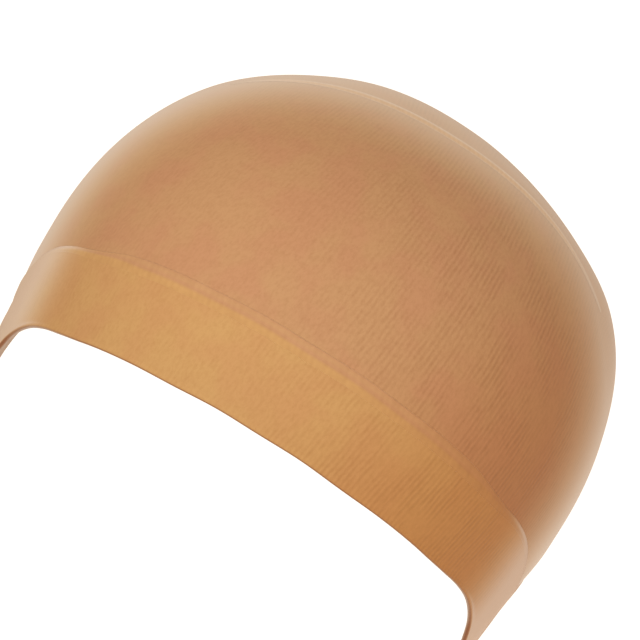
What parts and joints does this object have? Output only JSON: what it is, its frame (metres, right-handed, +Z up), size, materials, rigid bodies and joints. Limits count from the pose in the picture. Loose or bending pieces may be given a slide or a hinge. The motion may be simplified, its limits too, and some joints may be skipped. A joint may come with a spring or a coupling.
{
  "type": "stocking wig cap",
  "caption": "Close-fitting rib-knit stocking wig cap in tan nylon, with a doubled band along the forehead and a closing seam over the top.",
  "frame": {"origin": "inside top of the crown, where the wearer's head bears", "axes": "+Z up, -Y towards the face, +X to the side that is on the right when the face is seen"},
  "size_m": [0.1572, 0.1916, 0.1383],
  "materials": {
    "crown_knit": "fine rib knit, matte, pale at grazing angles",
    "band_knit": "doubled rib knit, matte",
    "seam_thread": "linking stitches, matte",
    "closing_thread": "overlocked ridge, matte"
  },
  "bodies": {
    "root": {"crown": "crown_knit", "band": "band_knit", "band_seam": "seam_thread", "closing_seam": "closing_thread"}
  },
  "joints": []
}
